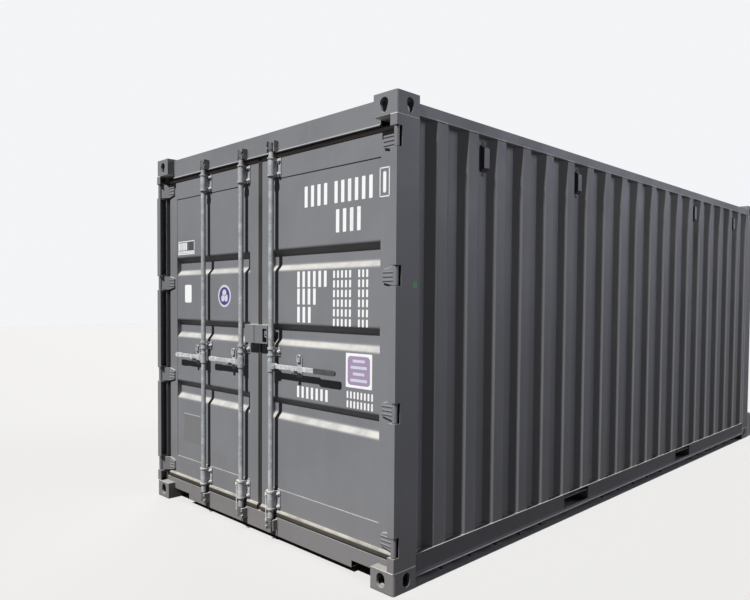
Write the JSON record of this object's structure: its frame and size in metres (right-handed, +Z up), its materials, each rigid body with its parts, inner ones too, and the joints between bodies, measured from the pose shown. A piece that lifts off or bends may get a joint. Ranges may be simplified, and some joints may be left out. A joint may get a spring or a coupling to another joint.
{
  "type": "shipping container",
  "caption": "Steel freight container with corrugated walls, a stamped roof, two hinged end doors and turning lock rods with folding handles.",
  "frame": {"origin": "centre of the container's footprint on the ground", "axes": "+X along the length towards the closed end, with the doors at -X, +Y across the width towards the left door seen from outside, +Z up"},
  "size_m": [6.058, 2.438, 2.591],
  "materials": {
    "paint": "satin dark grey container paint, scuffed",
    "galvanised": "dull galvanised steel",
    "seal": "matt black seal rubber",
    "plywood": "oiled hardwood plywood",
    "vent": "matt dark moulded plastic",
    "rope": "pale twisted polypropylene rope"
  },
  "bodies": {
    "container": {"top_fittings_door_end": "paint", "top_fittings_closed_end": "paint", "bottom_fittings_door_end": "paint", "bottom_fittings_closed_end": "paint", "rear_post_right": "paint", "rear_post_left": "paint", "front_post_right": "paint", "front_post_left": "paint", "door_header": "paint", "door_sill": "paint", "threshold": "paint", "front_top_rail": "paint", "front_bottom_rail": "paint", "top_side_rail_right": "paint", "top_side_rail_left": "paint", "bottom_side_rail_right": "paint", "bottom_side_rail_left": "paint", "side_wall_right": "paint", "side_wall_left": "paint", "front_wall": "paint", "roof": "paint", "floor": "plywood", "cross_members": "paint", "vents": "vent", "cam_keepers": "galvanised", "hinge_pins": "galvanised", "fork_pocket_sides": "paint", "fork_pocket_tops": "paint", "fork_pocket_straps": "paint", "fork_mouth_bars": "paint"},
    "right_door": {"right_door_stiles": "paint", "right_door_rails": "paint", "right_door_panel": "paint", "right_door_seal": "seal", "right_door_hinges": "paint", "right_lock_fittings": "galvanised", "right_lock_box": "paint", "hold_back_rope_right": "rope"},
    "left_door": {"left_door_stiles": "paint", "left_door_rails": "paint", "left_door_panel": "paint", "left_door_seal": "seal", "left_door_hinges": "paint", "left_lock_fittings": "galvanised", "left_lock_box": "paint", "hold_back_rope_left": "rope"},
    "right_rod": {"lock_rod_right": "galvanised"},
    "left_inner_rod": {"lock_rod_left_inner": "galvanised"},
    "left_outer_rod": {"lock_rod_left_outer": "galvanised"},
    "right_handle": {"handle_right": "galvanised"},
    "left_inner_handle": {"handle_left_inner": "galvanised"},
    "left_outer_handle": {"handle_left_outer": "galvanised"}
  },
  "joints": [
    {"name": "right_door_swing", "type": "hinge", "parent": "container", "child": "right_door", "pos_m": [-3.012, -1.203, 0], "axis": [0, 0, 1], "range_deg": [0, 265]},
    {"name": "left_door_swing", "type": "hinge", "parent": "container", "child": "left_door", "pos_m": [-3.012, 1.203, 0], "axis": [0, 0, -1], "range_deg": [0, 265]},
    {"name": "right_rod_turn", "type": "hinge", "parent": "right_door", "child": "right_rod", "pos_m": [-3, -0.165, 0], "axis": [0, 0, 1], "range_deg": [-100, 0]},
    {"name": "left_inner_rod_turn", "type": "hinge", "parent": "left_door", "child": "left_inner_rod", "pos_m": [-3, 0.155, 0], "axis": [0, 0, -1], "range_deg": [-100, 0]},
    {"name": "left_outer_rod_turn", "type": "hinge", "parent": "left_door", "child": "left_outer_rod", "pos_m": [-3, 0.61, 0], "axis": [0, 0, -1], "range_deg": [-100, 0]},
    {"name": "right_handle_lift", "type": "hinge", "parent": "right_rod", "child": "right_handle", "pos_m": [-3, -0.199, 1.115], "axis": [1, 0, 0], "range_deg": [-20, 0]},
    {"name": "left_inner_handle_lift", "type": "hinge", "parent": "left_inner_rod", "child": "left_inner_handle", "pos_m": [-3, 0.189, 1.115], "axis": [-1, 0, 0], "range_deg": [-20, 0]},
    {"name": "left_outer_handle_lift", "type": "hinge", "parent": "left_outer_rod", "child": "left_outer_handle", "pos_m": [-3, 0.644, 1.115], "axis": [-1, 0, 0], "range_deg": [-20, 0]}
  ]
}
